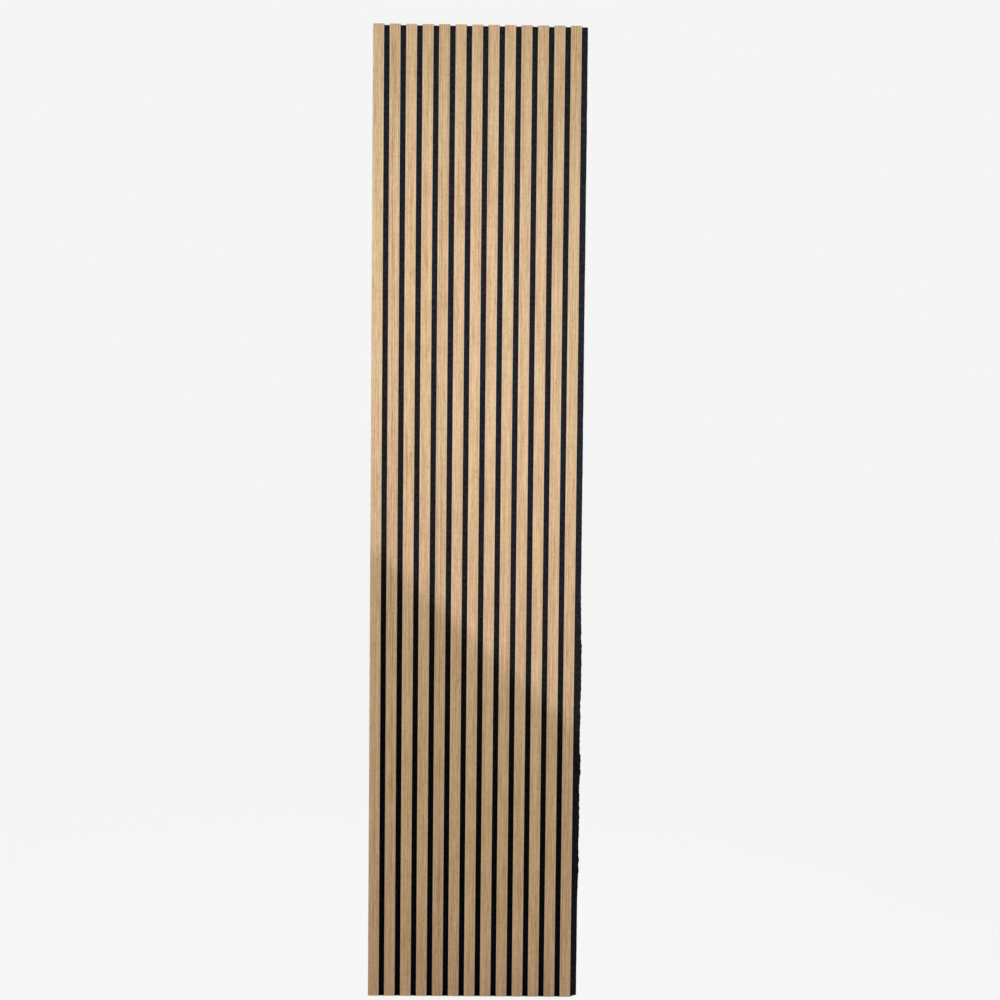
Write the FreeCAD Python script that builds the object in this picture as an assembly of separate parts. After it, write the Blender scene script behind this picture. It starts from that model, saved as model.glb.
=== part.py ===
import FreeCAD, Part
import math
import os

# Acoustic slat wall panel: oak-veneered slats glued and stapled to a felt backing board
# Millimetres, +Z up along the slats and -Y the front; the origin is the middle of the felt's back face

# Slats: a black-dyed fibreboard core with a leaf of oak veneer pressed on its face
slat_count = 13
slat_width = 27.0
slat_gap = 13.0
slat_length = 2400.0
core_thickness = 11.4
veneer_thickness = 0.6
arris_radius = 0.3

# Felt board: flush with the first slat's side and bare past the last slat, where the next panel butts on
felt_thickness = 9.0
felt_overhang = 15.0

# Staples: flat wire with chisel points, driven from behind through the felt into each core
crown_width = 12.8
wire_width = 0.95
wire_thickness = 0.65
crown_recess = 0.4
point_length = 1.2
point_cover = 5.4
staple_end_distance = 75.0
staple_spacing = 450.0

# Places that follow from the sizes above
slat_pitch = slat_width + slat_gap
panel_width = slat_count * slat_pitch - slat_gap + felt_overhang
panel_left = -panel_width / 2
panel_bottom = -slat_length / 2
felt_back = 0.0
felt_front = felt_back - felt_thickness
core_front = felt_front - core_thickness
crown_back = felt_back - crown_recess
crown_front = crown_back - wire_thickness
leg_tip = core_front + point_cover


def slat_left(index):
    """X of a slat's left side, counted from 0 at the flush edge of the panel."""
    return panel_left + index * slat_pitch


def full_length_bar(left, width, back, thickness):
    """A bar as long as the slats, given its left side, width, back face and thickness."""
    return Part.makeBox(width, thickness, slat_length, FreeCAD.Vector(left, back - thickness, panel_bottom))


def staple_rows():
    """Heights of the staples on each slat: evenly spread, no further apart than staple_spacing."""
    run = slat_length - 2 * staple_end_distance
    steps = max(1, math.ceil(run / staple_spacing))
    first = panel_bottom + staple_end_distance
    return [first + run * step / steps for step in range(steps + 1)]


def staple_prism(index, height, back):
    """A staple on one slat, its crown across the slat and its legs pointing forward from the given back plane."""
    centre = slat_left(index) + slat_width / 2
    outer = crown_width / 2
    inner = outer - wire_thickness
    shoulder = leg_tip + point_length
    outline = [
        (-outer, back),
        (outer, back),
        (outer, leg_tip),
        (inner, shoulder),
        (inner, crown_front),
        (-inner, crown_front),
        (-inner, shoulder),
        (-outer, leg_tip),
    ]
    low = height - wire_width / 2
    corners = [FreeCAD.Vector(centre + x, y, low) for x, y in outline]
    face = Part.Face(Part.makePolygon(corners + corners[:1]))
    return face.extrude(FreeCAD.Vector(0, 0, wire_width))


def slat_staples(index):
    """The staples that hold one slat."""
    return [staple_prism(index, height, crown_back) for height in staple_rows()]


def slat_core(index):
    """A slat's core, with a blind hole around each staple leg."""
    core = full_length_bar(slat_left(index), slat_width, felt_front, core_thickness)
    return core.cut(slat_staples(index))


def veneer_face(index):
    """The veneer on a slat's front, with its two long arrises eased by sanding."""
    leaf = full_length_bar(slat_left(index), slat_width, core_front, veneer_thickness)
    box = leaf.BoundBox
    arrises = [
        edge
        for edge in leaf.Edges
        if math.isclose(edge.BoundBox.ZLength, box.ZLength) and math.isclose(edge.BoundBox.YMax, box.YMin)
    ]
    return leaf.makeFillet(min(arris_radius, 0.9 * veneer_thickness), arrises)


def felt_backing():
    """The felt board, with a slot where each staple's crown pulls below its back face."""
    board = full_length_bar(panel_left, panel_width, felt_back, felt_thickness)
    slots = [
        staple_prism(index, height, felt_back + crown_recess)
        for index in range(slat_count)
        for height in staple_rows()
    ]
    return board.cut(slots)


def build():
    """Every sub-part by its node name."""
    nodes = {"felt_backing": felt_backing()}
    for index in range(slat_count):
        number = f"{index + 1:02d}"
        nodes[f"slat_core_{number}"] = slat_core(index)
        nodes[f"veneer_face_{number}"] = veneer_face(index)
    staples = [staple for index in range(slat_count) for staple in slat_staples(index)]
    nodes["back_staples"] = Part.makeCompound(staples)
    return nodes


os.makedirs("parts", exist_ok=True)
for name, shape in build().items():
    shape.exportStep(f"parts/{name}.step")
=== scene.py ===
"""Dress the acoustic slat wall panel: oak veneer, dyed fibreboard, felt and staple wire."""

from __future__ import annotations

import logging
import math
import random
from collections.abc import Callable
from dataclasses import dataclass
from enum import Enum
from functools import partial

import bmesh
import bpy
from mathutils import Matrix, Quaternion, Vector

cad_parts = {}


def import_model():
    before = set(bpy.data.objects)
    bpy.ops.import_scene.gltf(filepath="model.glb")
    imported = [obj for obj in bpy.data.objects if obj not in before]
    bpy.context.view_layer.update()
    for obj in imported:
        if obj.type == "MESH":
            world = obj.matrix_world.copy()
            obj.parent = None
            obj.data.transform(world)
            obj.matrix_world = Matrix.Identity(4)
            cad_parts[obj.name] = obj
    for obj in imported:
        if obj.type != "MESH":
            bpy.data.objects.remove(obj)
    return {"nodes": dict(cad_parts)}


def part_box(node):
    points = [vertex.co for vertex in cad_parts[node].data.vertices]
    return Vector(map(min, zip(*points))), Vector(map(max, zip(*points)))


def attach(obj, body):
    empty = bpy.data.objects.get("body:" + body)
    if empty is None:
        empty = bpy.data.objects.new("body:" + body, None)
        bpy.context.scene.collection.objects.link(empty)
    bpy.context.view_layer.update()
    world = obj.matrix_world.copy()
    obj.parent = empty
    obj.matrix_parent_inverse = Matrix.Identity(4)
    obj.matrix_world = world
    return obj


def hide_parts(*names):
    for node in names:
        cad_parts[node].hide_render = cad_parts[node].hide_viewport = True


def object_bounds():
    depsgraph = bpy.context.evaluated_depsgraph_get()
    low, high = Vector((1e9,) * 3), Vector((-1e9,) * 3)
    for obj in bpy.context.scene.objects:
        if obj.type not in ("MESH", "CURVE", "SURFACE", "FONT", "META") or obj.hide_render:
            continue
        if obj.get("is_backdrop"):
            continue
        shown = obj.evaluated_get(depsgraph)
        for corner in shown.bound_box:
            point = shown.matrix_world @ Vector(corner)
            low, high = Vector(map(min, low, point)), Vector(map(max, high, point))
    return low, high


log = logging.getLogger("slat_panel")

MM = 0.001
BODY = "root"
CORE = "slat_core_"
FACE = "veneer_face_"
NOISE_MIDDLE = 0.5

Feed = float | tuple[float, ...] | bpy.types.Node | bpy.types.NodeSocket
Adder = Callable[..., bpy.types.Node]
Span = tuple[float, float]
Triple = tuple[float, float, float]


class Slot(Enum):
    """The record's material slot for felt, which no piece here is given."""

    FELT = "felt"


class BoardEdge(Enum):
    """The cut edges of the felt board that keep their loose fibres, each with the way it faces."""

    LEFT = (-1.0, 0.0, 0.0)
    RIGHT = (1.0, 0.0, 0.0)
    TOP = (0.0, 0.0, 1.0)


def linear(hex_colour: str) -> tuple[float, float, float, float]:
    """Turn an sRGB hex colour into linear light, by the sRGB standard's own formula.

    Args:
        hex_colour: A hash sign and six hex digits.

    Returns:
        Red, green, blue and a full alpha.
    """
    channels = [int(hex_colour[start : start + 2], 16) / 255 for start in (1, 3, 5)]
    red, green, blue = (c / 12.92 if c <= 0.04045 else ((c + 0.055) / 1.055) ** 2.4 for c in channels)
    return red, green, blue, 1.0


def add_node(
    tree: bpy.types.NodeTree, kind: str, inputs: dict[str | int, Feed] | None = None, **settings: object
) -> bpy.types.Node:
    """Add a shader node with its settings and links.

    Args:
        tree: The node tree to add to.
        kind: The node's type name.
        inputs: What each input gets: a value, a socket, or a node whose first output in use is meant.
        settings: Properties of the node itself.

    Returns:
        The new node.
    """
    node = tree.nodes.new(kind)
    for name, value in settings.items():
        setattr(node, name, value)
    in_use = {socket.name: socket for socket in reversed(node.inputs) if socket.enabled}
    for key, feed in (inputs or {}).items():
        socket = node.inputs[key] if isinstance(key, int) else in_use[key]
        if isinstance(feed, bpy.types.Node):
            feed = next(output for output in feed.outputs if output.enabled)
        if isinstance(feed, bpy.types.NodeSocket):
            tree.links.new(feed, socket)
        else:
            socket.default_value = feed
    return node


def new_material(name: str) -> tuple[bpy.types.Material, Adder]:
    """Make a material with an empty node tree.

    Args:
        name: The material's name.

    Returns:
        The material, and a function that adds nodes to its tree.
    """
    material = bpy.data.materials.new(name)
    material.use_nodes = True
    material.node_tree.nodes.clear()
    return material, partial(add_node, material.node_tree)


def give_material(piece: bpy.types.Object, material: bpy.types.Material) -> None:
    """Make a material the only one on a piece."""
    piece.data.materials.clear()
    piece.data.materials.append(material)


def start_piece(name: str, add_primitive: Callable[..., object], **sizes: object) -> bpy.types.Object:
    """Add a primitive at its size and place, with nothing else selected and its object at the origin.

    Args:
        name: The piece's name.
        add_primitive: The operator that adds it.
        sizes: The operator's settings.

    Returns:
        The new object.
    """
    bpy.ops.object.select_all(action="DESELECT")
    add_primitive(**sizes)
    piece = bpy.context.object
    piece.name = name
    bpy.ops.object.transform_apply(location=True, rotation=True, scale=True)
    return piece


def select_edges(piece: bpy.types.Object, wanted: Callable[[Vector, Vector], bool]) -> None:
    """Select some edges of the piece that is in edit mode, and nothing else.

    Args:
        piece: The piece.
        wanted: Tells from an edge's two ends whether to select it.
    """
    bpy.ops.mesh.select_mode(type="EDGE")
    bpy.ops.mesh.select_all(action="DESELECT")
    for edge in bmesh.from_edit_mesh(piece.data).edges:
        edge.select_set(wanted(*(vertex.co for vertex in edge.verts)))
    bmesh.update_edit_mesh(piece.data)


def apply_modifier(piece: bpy.types.Object, kind: str, **settings: object) -> None:
    """Add a modifier to the active piece and apply it.

    Args:
        piece: The piece, which is the active object.
        kind: The modifier's type name.
        settings: The modifier's settings.
    """
    modifier = piece.modifiers.new(kind.lower(), kind)
    for name, value in settings.items():
        setattr(modifier, name, value)
    bpy.ops.object.modifier_apply(modifier=modifier.name)


def groups(values: list[float], gap: float) -> list[float]:
    """Find the middles of groups of numbers.

    Args:
        values: The numbers, in any order.
        gap: How far apart two groups are at least.

    Returns:
        The middle of each group, in rising order.
    """
    found: list[list[float]] = []
    for value in sorted(values):
        if not found or value - found[-1][-1] > gap:
            found.append([])
        found[-1].append(value)
    return [(group[0] + group[-1]) / 2 for group in found]


@dataclass(frozen=True)
class SlatLayout:
    """Where the slats lie across the panel."""

    numbers: tuple[str, ...]
    first_centre: float
    width: float
    pitch: float

    @classmethod
    def from_frame(cls, nodes: dict[str, bpy.types.Object]) -> SlatLayout:
        """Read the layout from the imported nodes.

        Args:
            nodes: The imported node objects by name.

        Returns:
            The layout, with the slats' numbers in order.
        """
        cores = sorted(name for name in nodes if name.startswith(CORE))
        low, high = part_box(cores[0])
        next_low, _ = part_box(cores[1])
        numbers = tuple(name.removeprefix(CORE) for name in cores)
        return cls(numbers, (low.x + high.x) / 2, high.x - low.x, next_low.x - low.x)

    def groove_centres(self) -> list[float]:
        """Give the middle line of each gap between two slats."""
        return [self.first_centre + (step + 0.5) * self.pitch for step in range(len(self.numbers) - 1)]


@dataclass(frozen=True)
class Marks:
    """Marks drawn out along the grain: size, how strongly they show, and the level where flecks begin."""

    width_mm: float
    length_mm: float
    strength: float = 1.0
    threshold: float = 0.0


@dataclass(frozen=True)
class OakVeneer:
    """Oak veneer, sliced nearly square to the year rings, then sanded and matt-lacquered.

    The rings run along each slat as fine straight lines: spring wood starts sharply each year, darker and
    open-pored, and fades into pale summer wood. Pores lie cut open as short dark dashes, and rays as small
    pale flecks. The black of the slat's sides laps a little over the eased long edges, in a line that is not
    quite straight.
    """

    layout: SlatLayout

    # Colours of the wood, its pores, rays and edges, and the tints and shades that two slats differ by
    summer_wood: str = "#ECCCA1"
    spring_wood: str = "#BC8E59"
    pore_brown: str = "#7A4C28"
    ray_cream: str = "#F2DBBD"
    painted_highlight_cream: str = "#F3DFC5"
    side_black: str = "#141210"
    warm_tint: str = "#FFF9F2"
    yellow_tint: str = "#FFFAF2"
    slat_shades: Span = (0.95, 1.05)

    # The log: width of a year, how wide a slanting cut draws it, how the grain leans and drifts, and how far
    # apart in the log two leaves were cut
    year_mm: float = 2.4
    slant: Span = (0.45, 1.1)
    lean: float = 0.006
    drift_mm: float = 6.0
    drift_length_mm: float = 420.0
    leaf_jump_mm: float = 3700.0

    # The spring wood: the part of a year in which it fades, how strongly it shows, and its share all over
    fade: Span = (0.08, 0.75)
    year_strengths: Span = (0.05, 0.7)
    even_share: float = 0.16

    # What lies along the grain; pores are drawn twice as wide as real ones, to show
    fibres: Marks = Marks(0.45, 70.0, 0.4)
    lines: Marks = Marks(2.6, 60.0, 1.15)
    bands: Marks = Marks(8.0, 300.0, 0.65)
    stretches: Marks = Marks(34.0, 190.0, 0.5)
    uneven_years: Marks = Marks(7.0, 600.0, 1.6)
    pores: Marks = Marks(0.5, 11.0, 1.0, 0.58)
    vessels: Marks = Marks(0.95, 22.0, 0.8, 0.63)
    rays: Marks = Marks(1.1, 9.0, 0.35, 0.6)
    fleck_softness: float = 0.1
    summer_pores: float = 0.15
    pore_darkness: float = 0.6

    # The long edges: width and strength of a painted highlight on them, and how far the black laps over them
    highlight_width_mm: float = 2.6
    highlight_strength: float = 0.5
    lap_mm: float = 0.45
    lap_wave_mm: Span = (0.2, 9.0)
    lap_softness_mm: float = 0.05

    # The lacquer: its roughness off and in the pores, its gloss, and the relief that it leaves
    roughness: Span = (0.5, 0.75)
    ior: float = 1.5
    specular: float = 0.5
    relief_mm: float = 0.08
    relief_strength: float = 0.5
    fibre_relief: float = 0.25

    def material(self) -> bpy.types.Material:
        """Make the veneer's material.

        Returns:
            The material.
        """
        material, add = new_material("oak_veneer_matt_lacquer")
        across, along, chance = self._leaf(add)
        chances = add("ShaderNodeSeparateColor", {0: chance.outputs["Color"]})
        grain = self._grain(add, across, along, chances.outputs["Green"])
        spring, share = self._years(add, grain, along, chances.outputs["Red"])
        pores = self._pores(add, grain, along, spring)
        darkening = (self.fibres, self.lines, self.bands, self.stretches)
        streaks = {marks: self._streaks(add, grain, along, marks) for marks in darkening}

        # How much spring wood shows at each point
        dark = add("ShaderNodeMath", {0: spring, 1: share}, operation="MULTIPLY")
        for marks, pattern in streaks.items():
            level = add("ShaderNodeMath", {0: pattern, 1: NOISE_MIDDLE}, operation="SUBTRACT")
            dark = add("ShaderNodeMath", {0: level, 1: marks.strength, 2: dark}, operation="MULTIPLY_ADD")
        dark = add("ShaderNodeMath", {0: dark, 1: self.even_share}, operation="ADD", use_clamp=True)
        wood = {"Factor": dark, "A": linear(self.summer_wood), "B": linear(self.spring_wood)}
        colour = add("ShaderNodeMix", wood, data_type="RGBA")

        # What lies over the plain wood
        layers = (
            (self._flecks(add, across, along, self.rays), self.ray_cream),
            (add("ShaderNodeMath", {0: pores, 1: self.pore_darkness}, operation="MULTIPLY"), self.pore_brown),
            # Painted highlight: the long edges are drawn paler, as where an edge catches the light
            (self._edge_highlight_mask(add, across), self.painted_highlight_cream),
        )
        for cover, tone in layers:
            over = {"Factor": cover, "A": colour, "B": linear(tone)}
            colour = add("ShaderNodeMix", over, data_type="RGBA")

        # Two slats differ a little in tint and in depth of colour, but not in the black that laps over them
        tints = {
            "Factor": chances.outputs["Blue"],
            "A": linear(self.warm_tint),
            "B": linear(self.yellow_tint),
        }
        tint = add("ShaderNodeMix", tints, data_type="RGBA")
        colour = add("ShaderNodeVectorMath", {0: colour, 1: tint}, operation="MULTIPLY")
        deep, light = self.slat_shades
        shade = add("ShaderNodeMapRange", {"Value": chance.outputs["Value"], "To Min": deep, "To Max": light})
        colour = add("ShaderNodeVectorMath", {0: colour, "Scale": shade}, operation="SCALE")
        lapped = {"Factor": self._lap(add, across, along), "A": colour, "B": linear(self.side_black)}
        colour = add("ShaderNodeMix", lapped, data_type="RGBA")

        height = add("ShaderNodeMath", {0: streaks[self.fibres], 1: self.fibre_relief}, operation="MULTIPLY")
        height = add("ShaderNodeMath", {0: height, 1: pores}, operation="SUBTRACT")
        relief = {"Height": height, "Strength": self.relief_strength, "Distance": self.relief_mm * MM}
        smooth, open_pored = self.roughness
        surface = {
            "Base Color": colour,
            "Roughness": add("ShaderNodeMapRange", {"Value": pores, "To Min": smooth, "To Max": open_pored}),
            "Normal": add("ShaderNodeBump", relief),
            "IOR": self.ior,
            "Specular IOR Level": self.specular,
        }
        add("ShaderNodeOutputMaterial", {"Surface": add("ShaderNodeBsdfPrincipled", surface)})
        return material

    def _leaf(self, add: Adder) -> tuple[bpy.types.Node, bpy.types.Node, bpy.types.Node]:
        """Find a point's place on its own leaf of veneer.

        Args:
            add: Adds a node.

        Returns:
            Millimetres from the slat's middle line, millimetres along its leaf, and the slat's own random
            numbers.
        """
        place = add("ShaderNodeTexCoord").outputs["Object"]
        millimetres = add("ShaderNodeVectorMath", {0: place, "Scale": 1 / MM}, operation="SCALE")
        axes = add("ShaderNodeSeparateXYZ", {0: millimetres})
        pitch = self.layout.pitch / MM
        start = self.layout.first_centre / MM - pitch / 2
        offset = add("ShaderNodeMath", {0: axes.outputs["X"], 1: start}, operation="SUBTRACT")
        steps = add("ShaderNodeMath", {0: offset, 1: pitch}, operation="DIVIDE")
        number = add("ShaderNodeMath", {0: steps}, operation="FLOOR")
        within = add("ShaderNodeMath", {0: offset, 1: pitch}, operation="MODULO")
        across = add("ShaderNodeMath", {0: within, 1: pitch / 2}, operation="SUBTRACT")
        chance = add("ShaderNodeTexWhiteNoise", {"W": number}, noise_dimensions="1D")
        jump = add("ShaderNodeMath", {0: number, 1: self.leaf_jump_mm}, operation="MULTIPLY")
        along = add("ShaderNodeMath", {0: axes.outputs["Z"], 1: jump}, operation="ADD")
        return across, along, chance

    def _grain(
        self, add: Adder, across: bpy.types.Node, along: bpy.types.Node, chance: bpy.types.NodeSocket
    ) -> bpy.types.Node:
        """Follow the grain, which leans and drifts a little along each leaf.

        Args:
            add: Adds a node.
            across: Millimetres from the slat's middle line.
            along: Millimetres along the leaf.
            chance: A random number of the slat's own.

        Returns:
            Millimetres across the grain.
        """
        step = add("ShaderNodeMath", {0: along, 1: self.drift_length_mm}, operation="DIVIDE")
        drift = add("ShaderNodeTexNoise", {"W": step, "Scale": 1.0, "Detail": 3.0}, noise_dimensions="1D")
        drifted = add("ShaderNodeMath", {0: drift, 1: self.drift_mm, 2: across}, operation="MULTIPLY_ADD")
        lean = add("ShaderNodeMapRange", {"Value": chance, "To Min": -self.lean, "To Max": self.lean})
        return add("ShaderNodeMath", {0: along, 1: lean, 2: drifted}, operation="MULTIPLY_ADD")

    def _years(
        self, add: Adder, grain: bpy.types.Node, along: bpy.types.Node, chance: bpy.types.NodeSocket
    ) -> tuple[bpy.types.Node, bpy.types.Node]:
        """Lay the year rings across the grain.

        Args:
            add: Adds a node.
            grain: Millimetres across the grain.
            along: Millimetres along the leaf.
            chance: A random number of the slat's own, for how slanting its leaf was cut.

        Returns:
            The spring wood of each year, and how strongly that year shows.
        """
        flat, steep = self.slant
        slant = add("ShaderNodeMapRange", {"Value": chance, "To Min": flat, "To Max": steep})
        width = add("ShaderNodeMath", {0: self.year_mm, 1: slant}, operation="DIVIDE")
        years = add("ShaderNodeMath", {0: grain, 1: width}, operation="DIVIDE")
        uneven = self._streaks(add, grain, along, self.uneven_years)
        shift = {0: uneven, 1: self.uneven_years.strength, 2: years}
        years = add("ShaderNodeMath", shift, operation="MULTIPLY_ADD")
        age = add("ShaderNodeMath", {0: years}, operation="FRACT")
        start, end = self.fade
        fading = {"Value": age, "From Min": start, "From Max": end, "To Min": 1.0, "To Max": 0.0}
        spring = add("ShaderNodeMapRange", fading, interpolation_type="SMOOTHSTEP")
        year = add("ShaderNodeMath", {0: years}, operation="FLOOR")
        strength = add("ShaderNodeTexWhiteNoise", {"W": year}, noise_dimensions="1D")
        weak, strong = self.year_strengths
        return spring, add("ShaderNodeMapRange", {"Value": strength, "To Min": weak, "To Max": strong})

    def _streaks(
        self, add: Adder, grain: bpy.types.Node, along: bpy.types.Node, marks: Marks
    ) -> bpy.types.Node:
        """Draw soft streaks along the grain.

        Args:
            add: Adds a node.
            grain: Millimetres across the grain.
            along: Millimetres along the grain.
            marks: The streaks' size.

        Returns:
            The streaks, from 0 to 1.
        """
        sideways = add("ShaderNodeMath", {0: grain, 1: marks.width_mm}, operation="DIVIDE")
        lengthways = add("ShaderNodeMath", {0: along, 1: marks.length_mm}, operation="DIVIDE")
        spot = add("ShaderNodeCombineXYZ", {"X": sideways, "Y": lengthways})
        noise = {"Vector": spot, "Scale": 1.0, "Detail": 2.0}
        return add("ShaderNodeTexNoise", noise, noise_dimensions="2D")

    def _flecks(
        self, add: Adder, grain: bpy.types.Node, along: bpy.types.Node, marks: Marks
    ) -> bpy.types.Node:
        """Keep only the peaks of a streak pattern, as separate flecks.

        Args:
            add: Adds a node.
            grain: Millimetres across the grain.
            along: Millimetres along the grain.
            marks: The flecks' rough size, the level where they begin and how strongly they show.

        Returns:
            The flecks.
        """
        peaks = {
            "Value": self._streaks(add, grain, along, marks),
            "From Min": marks.threshold,
            "From Max": marks.threshold + self.fleck_softness,
            "To Max": marks.strength,
        }
        return add("ShaderNodeMapRange", peaks, interpolation_type="SMOOTHSTEP")

    def _pores(
        self, add: Adder, grain: bpy.types.Node, along: bpy.types.Node, spring: bpy.types.Node
    ) -> bpy.types.Node:
        """Draw the cut-open pores, most of them in the spring wood.

        Args:
            add: Adds a node.
            grain: Millimetres across the grain.
            along: Millimetres along the grain.
            spring: The spring wood.

        Returns:
            The pores, 1 inside one.
        """
        fine = self._flecks(add, grain, along, self.pores)
        share = add("ShaderNodeMapRange", {"Value": spring, "To Min": self.summer_pores, "To Max": 1.0})
        fine = add("ShaderNodeMath", {0: fine, 1: share}, operation="MULTIPLY")
        coarse = self._flecks(add, grain, along, self.vessels)
        return add("ShaderNodeMath", {0: fine, 1: coarse}, operation="MAXIMUM")

    def _edge_highlight_mask(self, add: Adder, across: bpy.types.Node) -> bpy.types.Node:
        """Paint a highlight along the two long edges, paler towards each edge.

        Args:
            add: Adds a node.
            across: Millimetres from the slat's middle line.

        Returns:
            How strongly the painted highlight shows at each point.
        """
        half = self.layout.width / MM / 2
        away = add("ShaderNodeMath", {0: across}, operation="ABSOLUTE")
        painted_band = {
            "Value": away,
            "From Min": half - self.highlight_width_mm,
            "From Max": half,
            "To Max": self.highlight_strength,
        }
        return add("ShaderNodeMapRange", painted_band, interpolation_type="SMOOTHSTEP")

    def _lap(self, add: Adder, across: bpy.types.Node, along: bpy.types.Node) -> bpy.types.Node:
        """Find where the black of the sides laps over the long edges.

        Args:
            add: Adds a node.
            across: Millimetres from the slat's middle line.
            along: Millimetres along the leaf.

        Returns:
            1 where it is black, else 0.
        """
        height, length = self.lap_wave_mm
        step = add("ShaderNodeMath", {0: along, 1: length}, operation="DIVIDE")
        wave = add("ShaderNodeTexNoise", {"W": step, "Scale": 1.0}, noise_dimensions="1D")
        away = add("ShaderNodeMath", {0: across}, operation="ABSOLUTE")
        place = add("ShaderNodeMath", {0: wave, 1: height, 2: away}, operation="MULTIPLY_ADD")
        middle = self.layout.width / MM / 2 - self.lap_mm + height * NOISE_MIDDLE
        start, end = middle - self.lap_softness_mm, middle + self.lap_softness_mm
        return add("ShaderNodeMapRange", {"Value": place, "From Min": start, "From Max": end})


@dataclass(frozen=True)
class DyedFibreboard:
    """Fibreboard dyed black right through and sawn into slats.

    It is dull, with a few paler fibres and faint saw marks.
    """

    dye: str = "#111113"
    fibre: str = "#2A2828"
    fleck_mm: float = 0.7
    fleck_levels: Span = (0.48, 0.75)
    fleck_relief: float = 0.6
    saw_mark_mm: float = 1.8
    relief_mm: float = 0.1
    relief_strength: float = 0.35
    roughness: float = 0.85
    ior: float = 1.5
    specular: float = 0.15

    def material(self) -> bpy.types.Material:
        """Make the fibreboard's material.

        Returns:
            The material.
        """
        material, add = new_material("black_dyed_fibreboard")
        place = add("ShaderNodeTexCoord").outputs["Object"]
        grit = {"Vector": place, "Scale": 1 / (self.fleck_mm * MM), "Detail": 4.0}
        flecks = add("ShaderNodeTexNoise", grit)
        dark, pale = self.fleck_levels
        share = add("ShaderNodeMapRange", {"Value": flecks, "From Min": dark, "From Max": pale})
        tones = {"Factor": share, "A": linear(self.dye), "B": linear(self.fibre)}
        colour = add("ShaderNodeMix", tones, data_type="RGBA")
        upward = add("ShaderNodeSeparateXYZ", {0: place}).outputs["Z"]
        strokes = {"W": upward, "Scale": 1 / (self.saw_mark_mm * MM)}
        marks = add("ShaderNodeTexNoise", strokes, noise_dimensions="1D")
        height = add("ShaderNodeMath", {0: flecks, 1: self.fleck_relief, 2: marks}, operation="MULTIPLY_ADD")
        relief = {"Height": height, "Strength": self.relief_strength, "Distance": self.relief_mm * MM}
        surface = {
            "Base Color": colour,
            "Roughness": self.roughness,
            "Normal": add("ShaderNodeBump", relief),
            "IOR": self.ior,
            "Specular IOR Level": self.specular,
        }
        add("ShaderNodeOutputMaterial", {"Surface": add("ShaderNodeBsdfPrincipled", surface)})
        return material


@dataclass(frozen=True)
class PolyesterFelt:
    """Needle-punched polyester felt, pressed to a stiff board.

    Its charcoal fibres lie every way, with no gloss. Real ones are about 0.03 mm thick; they are drawn as
    strands ten times as wide, to show.
    """

    shadow: str = "#1A1A21"
    fibre: str = "#464651"
    stray: str = "#747480"
    strand_mm: Span = (0.35, 7.0)
    strand_turns: tuple[float, ...] = (0.2, 1.2, 2.3)
    stray_levels: Span = (0.72, 0.8)
    cloud_mm: float = 9.0
    cloud_lift: float = 0.45
    lift_levels: Span = (0.6, 1.0)
    relief_mm: float = 0.3
    relief_strength: float = 0.8
    roughness: float = 0.95
    ior: float = 1.5
    specular: float = 0.04
    sheen: float = 0.04
    sheen_roughness: float = 0.6

    def material(self) -> bpy.types.Material:
        """Make the felt's material.

        Returns:
            The material.
        """
        material, add = new_material("black_polyester_felt")
        place = add("ShaderNodeTexCoord").outputs["Object"]
        strands = self._strands(add, place)
        fleece = {"Vector": place, "Scale": 1 / (self.cloud_mm * MM), "Detail": 3.0}
        clouds = add("ShaderNodeTexNoise", fleece)
        lift = add("ShaderNodeMath", {0: clouds, 1: self.cloud_lift, 2: strands}, operation="MULTIPLY_ADD")
        deep, raised = self.lift_levels
        share = add("ShaderNodeMapRange", {"Value": lift, "From Min": deep, "From Max": raised})
        tones = {"Factor": share, "A": linear(self.shadow), "B": linear(self.fibre)}
        colour = add("ShaderNodeMix", tones, data_type="RGBA")
        start, end = self.stray_levels
        stray = add("ShaderNodeMapRange", {"Value": strands, "From Min": start, "From Max": end})
        topped = {"Factor": stray, "A": colour, "B": linear(self.stray)}
        colour = add("ShaderNodeMix", topped, data_type="RGBA")
        relief = {"Height": strands, "Strength": self.relief_strength, "Distance": self.relief_mm * MM}
        surface = {
            "Base Color": colour,
            "Roughness": self.roughness,
            "Normal": add("ShaderNodeBump", relief),
            "IOR": self.ior,
            "Specular IOR Level": self.specular,
            "Sheen Weight": self.sheen,
            "Sheen Roughness": self.sheen_roughness,
        }
        add("ShaderNodeOutputMaterial", {"Surface": add("ShaderNodeBsdfPrincipled", surface)})
        return material

    def _strands(self, add: Adder, place: bpy.types.NodeSocket) -> bpy.types.Node:
        """Lay curling strands over each other in three directions.

        Args:
            add: Adds a node.
            place: Where a point is.

        Returns:
            The height of the topmost strand.
        """
        width, length = (size * MM for size in self.strand_mm)
        swirl = add("ShaderNodeTexNoise", {"Vector": place, "Scale": 1 / length})
        swirl = add("ShaderNodeVectorMath", {0: swirl.outputs["Color"], "Scale": length}, operation="SCALE")
        bent = add("ShaderNodeVectorMath", {0: place, 1: swirl}, operation="ADD")
        layers = []
        drawn_out = (1 / width, 1 / length, 1 / length)
        for turn in self.strand_turns:
            turned = add("ShaderNodeMapping", {"Vector": bent, "Rotation": (turn, turn, turn)})
            laid = add("ShaderNodeMapping", {"Vector": turned, "Scale": drawn_out})
            layers.append(add("ShaderNodeTexNoise", {"Vector": laid, "Scale": 1.0, "Detail": 2.0}))
        lower = add("ShaderNodeMath", {0: layers[0], 1: layers[1]}, operation="MAXIMUM")
        return add("ShaderNodeMath", {0: lower, 1: layers[2]}, operation="MAXIMUM")


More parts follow.
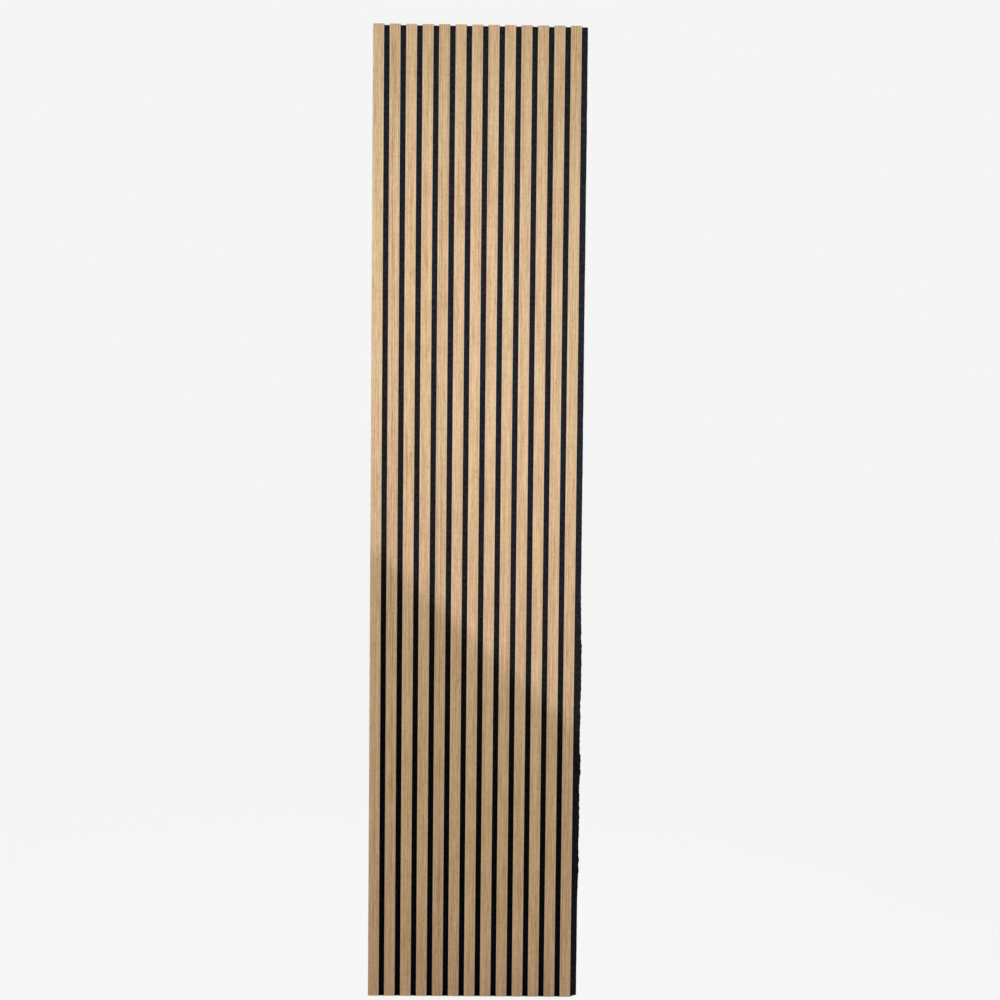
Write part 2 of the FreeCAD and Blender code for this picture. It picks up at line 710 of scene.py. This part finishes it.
@dataclass(frozen=True)
class GalvanisedWire:
    """Zinc-coated flat wire: bright grey metal with a dull bloom in patches."""

    zinc: str = "#B9BCBE"
    bloom: str = "#8F9395"
    bloom_mm: float = 2.0
    bloom_levels: Span = (0.4, 0.65)
    roughness: Span = (0.28, 0.5)

    def material(self) -> bpy.types.Material:
        """Make the wire's material.

        Returns:
            The material.
        """
        material, add = new_material("galvanised_steel_wire")
        place = add("ShaderNodeTexCoord").outputs["Object"]
        patches = {"Vector": place, "Scale": 1 / (self.bloom_mm * MM), "Detail": 4.0}
        spots = add("ShaderNodeTexNoise", patches)
        start, end = self.bloom_levels
        share = add("ShaderNodeMapRange", {"Value": spots, "From Min": start, "From Max": end})
        tones = {"Factor": share, "A": linear(self.zinc), "B": linear(self.bloom)}
        bright, dull = self.roughness
        surface = {
            "Base Color": add("ShaderNodeMix", tones, data_type="RGBA"),
            "Roughness": add("ShaderNodeMapRange", {"Value": share, "To Min": bright, "To Max": dull}),
            "Metallic": 1.0,
        }
        add("ShaderNodeOutputMaterial", {"Surface": add("ShaderNodeBsdfPrincipled", surface)})
        return material


@dataclass
class Slats:
    """The slats: a dyed core and an oak face each."""

    layout: SlatLayout
    oak: OakVeneer
    fibreboard: DyedFibreboard

    def dress(self, nodes: dict[str, bpy.types.Object]) -> None:
        """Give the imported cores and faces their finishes.

        Args:
            nodes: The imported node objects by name.
        """
        oak = self.oak.material()
        fibreboard = self.fibreboard.material()
        for number in self.layout.numbers:
            give_material(nodes[CORE + number], fibreboard)
            give_material(nodes[FACE + number], oak)
            log.info("slat %s dressed", number)


@dataclass
class Staples:
    """The staples that hold the slats from behind."""

    wire: GalvanisedWire
    layout: SlatLayout
    row_gap: float = 20 * MM

    def dress(self, nodes: dict[str, bpy.types.Object]) -> None:
        """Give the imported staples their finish."""
        give_material(nodes["back_staples"], self.wire.material())
        log.info("staples dressed")

    def crown_width(self) -> float:
        """Give the width of one staple's crown."""
        low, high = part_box("back_staples")
        return high.x - low.x - self.layout.pitch * (len(self.layout.numbers) - 1)

    def rows(self, nodes: dict[str, bpy.types.Object]) -> list[float]:
        """Give the height of each row of staples."""
        return groups([vertex.co.z for vertex in nodes["back_staples"].data.vertices], self.row_gap)


@dataclass(frozen=True)
class LipWave:
    """A wave of the cut along the bare lip: length, height, and its share inside the straight line."""

    length: float
    height: float
    inside: float


@dataclass(frozen=True)
class LooseFibre:
    """A loose fibre that leaves the felt and curls back towards it.

    It is drawn three times as thick as a real one, to show.
    """

    radius: float = 0.05 * MM
    length: float = 2.4 * MM

    # In shares of its length: how much that varies, and how far it turns aside, rises and is rooted
    length_spread: Span = (0.5, 1.5)
    turn: float = 0.5
    rise: Span = (0.15, 0.45)
    root_depth: float = 0.06

    # How much of a half wave it bends through, how much of its reach to the front it keeps, and its steps
    arc: float = 0.85
    front_share: float = 0.4
    steps: int = 3

    def grow(self, strands: bpy.types.Curve, chance: random.Random, root: Vector, facing: Vector) -> None:
        """Add one fibre.

        Args:
            strands: The curve that gets the fibre.
            chance: Where the random numbers come from.
            root: Where the fibre leaves the felt.
            facing: The way the felt faces there.
        """
        aside = Vector(chance.gauss(0, 1) for _ in range(3))
        aside -= facing * aside.dot(facing)
        aside.normalize()
        turn = facing.cross(aside) * chance.uniform(-self.turn, self.turn)
        length = self.length * chance.uniform(*self.length_spread)
        rise = chance.uniform(*self.rise)
        spline = strands.splines.new("POLY")
        spline.points.add(self.steps)
        for step, point in enumerate(spline.points):
            part = step / self.steps
            lift = rise * math.sin(self.arc * math.pi * part) - self.root_depth
            path = length * (aside * part + turn * part * part + facing * lift)
            path.y *= self.front_share
            point.co = (*(root + path), 1.0)


@dataclass
class FeltBoard:
    """The felt board: soft, uneven cut edges, dimples where the staples pull in, and loose fibres."""

    finish: PolyesterFelt
    staples: Staples
    layout: SlatLayout
    edge_radius: float = 0.8 * MM
    edge_steps: int = 5
    length_cuts: tuple[int, ...] = (99, 4)
    tolerance: float = 0.01 * MM
    dimple_size: Triple = (5.0 * MM, 3.0 * MM, 3.6 * MM)
    dimple_depth: float = 1.0 * MM
    dimple_steps: tuple[int, int] = (24, 16)
    smooth_angle: float = 25.0

    # The cut along the bare lip bulges out in full waves over one stretch, and by a share of their height
    # elsewhere: the waves widen the dark felt, which stands in for the shadow beside the board
    lip_waves: tuple[LipWave, ...] = (
        LipWave(10 * MM, 5.0 * MM, 0.5),
        LipWave(70 * MM, 5.0 * MM, 0.35),
        LipWave(210 * MM, 7.0 * MM, 0.25),
    )
    bulge_stretch: Span = (-1000 * MM, -150 * MM)
    bulge_fade: float = 150 * MM
    bulge_elsewhere: float = 0.15

    # Loose fibres: how far apart they stand, how many of their lengths they keep from the board's other
    # sides, and the share of their radius within which two points are one
    fibre: LooseFibre = LooseFibre()
    edge_fibre_spacing: float = 1.7 * MM
    groove_fibre_spacing: float = 24 * MM
    fibre_inset: Triple = (2.0, 1.0, 2.0)
    fibre_weld: float = 0.1
    seed: int = 7

    def build(self, nodes: dict[str, bpy.types.Object]) -> None:
        """Make the board and its loose fibres, in place of the plain packed board.

        Args:
            nodes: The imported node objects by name.
        """
        low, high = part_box("felt_backing")
        felt = self.finish.material()
        board = self._cut_board(low, high)
        self._press_dimples(board, high.y, self.staples.rows(nodes))
        fibres = self._raise_fibres(board, low, high)
        for piece in (board, fibres):
            give_material(piece, felt)
            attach(piece, BODY)
            log.info("%s built with %d faces", piece.name, len(piece.data.polygons))
        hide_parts("felt_backing")

    def _cut_board(self, low: Vector, high: Vector) -> bpy.types.Object:
        """Cut the board from a block, soften its edges and let the cut along the bare lip waver.

        Args:
            low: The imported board's lowest corner.
            high: Its highest corner.

        Returns:
            The board.
        """
        block = {"size": 1.0, "location": (low + high) / 2, "scale": high - low}
        board = start_piece("felt_board", bpy.ops.mesh.primitive_cube_add, **block)
        bpy.ops.object.mode_set(mode="EDIT")
        for cuts in self.length_cuts:
            select_edges(board, lambda one, other: abs(one.z - other.z) > MM)
            bpy.ops.mesh.subdivide(number_cuts=cuts)
        select_edges(board, lambda one, other: self._sides_met((one + other) / 2, low, high) == 2)
        bpy.ops.mesh.bevel(offset=self.edge_radius, segments=self.edge_steps, affect="EDGES")
        bpy.ops.object.mode_set(mode="OBJECT")

        lip_name = "lip_edge"
        lip = board.vertex_groups.new(name=lip_name)
        reach = high.x - self.edge_radius - self.tolerance
        for vertex in board.data.vertices:
            if vertex.co.x > reach:
                lip.add([vertex.index], self._bulge_share(vertex.co.z), "REPLACE")
        # The waves push the lip's dark felt outwards, standing in for the shadow beside the board
        for wave in self.lip_waves:
            cut = bpy.data.textures.new("uneven_cut", "CLOUDS")
            cut.noise_scale = wave.length
            apply_modifier(
                board,
                "DISPLACE",
                texture=cut,
                texture_coords="LOCAL",
                direction="X",
                vertex_group=lip_name,
                strength=wave.height,
                mid_level=wave.inside,
            )
        return board

    def _bulge_share(self, height: float) -> float:
        """Tell how far the lip's cut bulges out at a height, widening the dark felt that stands in for
        shadow.

        Args:
            height: The height on the board.

        Returns:
            1 well inside the bulging stretch, fading to the share elsewhere.
        """
        start, end = self.bulge_stretch
        inside = min(height - start, end - height) / self.bulge_fade
        return max(self.bulge_elsewhere, min(inside, 1.0))

    def _sides_met(self, point: Vector, low: Vector, high: Vector) -> int:
        """Count the sides of the block that a point lies on."""
        inward = (min(point[axis] - low[axis], high[axis] - point[axis]) for axis in range(3))
        return sum(distance < self.tolerance for distance in inward)

    def _press_dimples(self, board: bpy.types.Object, back: float, rows: list[float]) -> None:
        """Press a shallow dimple around each staple's crown into the back of the board.

        Args:
            board: The board.
            back: The plane of the board's back face.
            rows: The height of each row of staples.
        """
        length, depth, height = self.dimple_size
        segments, rings = self.dimple_steps
        round_stamp = {
            "segments": segments,
            "ring_count": rings,
            "radius": 1.0,
            "location": (self.layout.first_centre, back + depth - self.dimple_depth, rows[0]),
            "scale": (length + self.staples.crown_width() / 2, depth, height),
        }
        stamp = start_piece("dimple_stamp", bpy.ops.mesh.primitive_uv_sphere_add, **round_stamp)
        copies = (
            (len(self.layout.numbers), (self.layout.pitch, 0, 0)),
            (len(rows), (0, 0, rows[1] - rows[0])),
        )
        for count, step in copies:
            apply_modifier(
                stamp,
                "ARRAY",
                count=count,
                use_relative_offset=False,
                use_constant_offset=True,
                constant_offset_displace=step,
            )
        bpy.context.view_layer.objects.active = board
        apply_modifier(board, "BOOLEAN", operation="DIFFERENCE", object=stamp, solver="EXACT")
        bpy.data.objects.remove(stamp)
        bpy.ops.object.select_all(action="DESELECT")
        board.select_set(True)
        bpy.ops.object.shade_smooth_by_angle(angle=math.radians(self.smooth_angle))

    def _raise_fibres(self, board: bpy.types.Object, low: Vector, high: Vector) -> bpy.types.Object:
        """Raise loose fibres along the cut edges and, sparsely, in the grooves.

        Args:
            board: The board that they grow from.
            low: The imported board's lowest corner.
            high: Its highest corner.

        Returns:
            All the fibres, as one mesh.
        """
        chance = random.Random(self.seed)
        strands = bpy.data.curves.new("loose_felt_fibres", "CURVE")
        strands.dimensions = "3D"
        strands.bevel_depth = self.fibre.radius
        strands.bevel_resolution = 0
        strands.use_fill_caps = True
        inset = Vector(self.fibre_inset) * self.fibre.length
        spans = [(low[axis] + inset[axis], high[axis] - inset[axis]) for axis in range(3)]
        outside = (high - low).length
        for edge in BoardEdge:
            facing = Vector(edge.value)
            run = high.z - low.z if facing.x else high.x - low.x
            for _ in range(round(run / self.edge_fibre_spacing)):
                spot = Vector(chance.uniform(*span) for span in spans)
                _, root, _, _ = board.ray_cast(spot + facing * outside, -facing)
                self.fibre.grow(strands, chance, root, facing)
        facing = Vector((0, -1, 0))
        for centre in self.layout.groove_centres():
            half = (self.layout.pitch - self.layout.width) / 2
            for _ in range(round((high.z - low.z) / self.groove_fibre_spacing)):
                height = chance.uniform(*spans[2])
                root = Vector((centre + chance.uniform(-half, half), low.y, height))
                self.fibre.grow(strands, chance, root, facing)
        fibres = bpy.data.objects.new(strands.name, strands)
        bpy.context.scene.collection.objects.link(fibres)
        bpy.ops.object.select_all(action="DESELECT")
        fibres.select_set(True)
        bpy.context.view_layer.objects.active = fibres
        bpy.ops.object.convert(target="MESH")
        bpy.ops.object.mode_set(mode="EDIT")
        bpy.ops.mesh.select_all(action="SELECT")
        bpy.ops.mesh.remove_doubles(threshold=self.fibre_weld * self.fibre.radius)
        bpy.ops.mesh.normals_make_consistent(inside=False)
        bpy.ops.object.mode_set(mode="OBJECT")
        return fibres


@dataclass(frozen=True)
class SoftBox:
    """A flat soft light, hung at a place and turned to face another; a grid in front narrows its spread.

    Its power is in watts, its sizes and places are in metres, and its angles are in degrees.
    """

    name: str
    power: float
    width: float
    height: float
    place: Triple
    aim: Triple
    spread: float
    roll: float = 0.0
    tint: str = "#FFFFFF"

    def hang(self) -> None:
        """Hang the light in the scene."""
        light = bpy.data.lights.new(self.name, "AREA")
        light.shape = "RECTANGLE"
        light.energy = self.power
        light.color = linear(self.tint)[:3]
        light.size = self.width
        light.size_y = self.height
        light.spread = math.radians(self.spread)
        lamp = bpy.data.objects.new(self.name, light)
        bpy.context.scene.collection.objects.link(lamp)
        place = Vector(self.place)
        lamp.rotation_mode = "QUATERNION"
        turn = Quaternion((0, 0, 1), math.radians(self.roll))
        lamp.rotation_quaternion = (Vector(self.aim) - place).to_track_quat("-Z", "Y") @ turn
        lamp.location = place
        lamp.visible_camera = False


@dataclass
class Studio:
    """A pale studio: a floor under the panel, an even sky, soft boxes and the camera."""

    floor_level: float
    backdrop: str = "#F5F5F5"
    floor_grey: str = "#9E9E9E"
    floor_sheen: str = "#2A2A2A"
    floor_glow: float = 0.995
    floor_size: float = 60.0
    # How far ambient occlusion looks, and the levels over which it dims the floor's glow as painted shade
    shade_reach: float = 40 * MM
    painted_shade_levels: Span = (0.4, 0.56)
    sky_strength: float = 0.06

    # The two keys have a tilted lower edge, which draws the slanting shadow over the panel's lower half
    soft_boxes: tuple[SoftBox, ...] = (
        SoftBox(
            name="key",
            power=1.36,
            width=1.76,
            height=1.4,
            place=(0.151, -2.0, 0.501),
            aim=(0.151, 0.0, 0.501),
            spread=2.0,
            roll=-41.6,
            tint="#F6FCFD",
        ),
        SoftBox(
            name="soft_key",
            power=1.43,
            width=1.7,
            height=1.15,
            place=(0.15, -2.1, 0.51),
            aim=(0.15, 0.0, 0.51),
            spread=36.0,
            roll=-41.6,
            tint="#F6FCFD",
        ),
        SoftBox(
            name="left_fill",
            power=64.0,
            width=1.2,
            height=2.4,
            place=(-7.0, -4.0, 0.0),
            aim=(4.0, 0.0, 0.0),
            spread=50.0,
        ),
        SoftBox(
            name="right_fill",
            power=3.5,
            width=1.2,
            height=2.4,
            place=(5.0, -2.9, 0.3),
            aim=(0.0, 0.0, 0.0),
            spread=60.0,
        ),
        SoftBox(
            name="back_fill",
            power=26.0,
            width=0.6,
            height=0.6,
            place=(1.6, 1.2, 1.6),
            aim=(0.0, 0.0, 0.0),
            spread=90.0,
        ),
    )

    # The camera's place in metres, its turns in degrees and its lens in millimetres
    camera_place: Triple = (0.0262, -3.521, 0.2128)
    camera_yaw: float = -0.518
    camera_pitch: float = -2.733
    camera_roll: float = 0.561
    camera_lens: float = 51.17

    def build(self) -> None:
        """Set up the floor, the light and the camera."""
        self._lay_floor()
        self._light_sky()
        for soft_box in self.soft_boxes:
            soft_box.hang()
        self._stand_camera()
        bpy.context.scene.view_settings.view_transform = "Standard"
        log.info("studio built")

    def _seen(self, add: Adder) -> bpy.types.Node:
        """Tell rays that show the studio itself from rays that only bring its light.

        Args:
            add: Adds a node.

        Returns:
            1 for camera, glossy and transmission rays, else 0.
        """
        path = add("ShaderNodeLightPath")
        mirrored = {0: path.outputs["Is Glossy Ray"], 1: path.outputs["Is Transmission Ray"]}
        through = add("ShaderNodeMath", mirrored, operation="MAXIMUM")
        return add("ShaderNodeMath", {0: path.outputs["Is Camera Ray"], 1: through}, operation="MAXIMUM")

    def _lay_floor(self) -> None:
        """Lay a floor that looks like the backdrop and keeps the panel's shadow; painted shade dims its glow
        in niches.
        """
        plane = {"size": self.floor_size, "location": (0, 0, self.floor_level)}
        floor = start_piece("studio_floor", bpy.ops.mesh.primitive_plane_add, **plane)
        floor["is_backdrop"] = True
        material, add = new_material("pale_studio_floor")
        # Painted shade: the glow dims where ambient occlusion finds the floor shut in, as in the niches under
        # the panel
        niche = add("ShaderNodeAmbientOcclusion", {"Distance": self.shade_reach})
        dark, bright = self.painted_shade_levels
        painted_niche_shade = {
            "Value": niche.outputs["AO"],
            "From Min": dark,
            "From Max": bright,
            "To Max": self.floor_glow,
        }
        level = add("ShaderNodeMapRange", painted_niche_shade, interpolation_type="SMOOTHSTEP")
        glow = add("ShaderNodeEmission", {"Color": linear(self.backdrop), "Strength": level})
        sheen = add("ShaderNodeBsdfDiffuse", {"Color": linear(self.floor_sheen)})
        shown = add("ShaderNodeAddShader", {0: glow, 1: sheen})
        plain = add("ShaderNodeBsdfDiffuse", {"Color": linear(self.floor_grey)})
        surface = add("ShaderNodeMixShader", {0: self._seen(add), 1: plain, 2: shown})
        add("ShaderNodeOutputMaterial", {"Surface": surface})
        give_material(floor, material)

    def _light_sky(self) -> None:
        """Make the world an even, weak light that shows as the pale backdrop."""
        world = bpy.data.worlds.new("pale_backdrop")
        bpy.context.scene.world = world
        world.use_nodes = True
        world.node_tree.nodes.clear()
        add = partial(add_node, world.node_tree)
        weak = (self.sky_strength, self.sky_strength, self.sky_strength, 1.0)
        tones = {"Factor": self._seen(add), "A": weak, "B": linear(self.backdrop)}
        colour = add("ShaderNodeMix", tones, data_type="RGBA")
        background = add("ShaderNodeBackground", {"Color": colour})
        add("ShaderNodeOutputWorld", {"Surface": background})

    def _stand_camera(self) -> None:
        """Stand the camera in front of the panel, a little above its middle."""
        camera = bpy.data.cameras.new("front_camera")
        camera.lens = self.camera_lens
        stand = bpy.data.objects.new(camera.name, camera)
        bpy.context.scene.collection.objects.link(stand)
        yaw = Matrix.Rotation(math.radians(self.camera_yaw), 4, "Z")
        pitch = Matrix.Rotation(math.radians(90 + self.camera_pitch), 4, "X")
        roll = Matrix.Rotation(math.radians(self.camera_roll), 4, "Z")
        stand.matrix_world = Matrix.Translation(self.camera_place) @ yaw @ pitch @ roll
        bpy.context.scene.camera = stand


def main() -> None:
    """Build the dressed panel in its studio."""
    logging.basicConfig(level=logging.INFO)
    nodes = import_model()["nodes"]
    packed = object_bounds()
    layout = SlatLayout.from_frame(nodes)
    Slats(layout, OakVeneer(layout), DyedFibreboard()).dress(nodes)
    staples = Staples(GalvanisedWire(), layout)
    staples.dress(nodes)
    FeltBoard(PolyesterFelt(), staples, layout).build(nodes)
    Studio(packed[0].z).build()


if __name__ == "__main__":
    main()
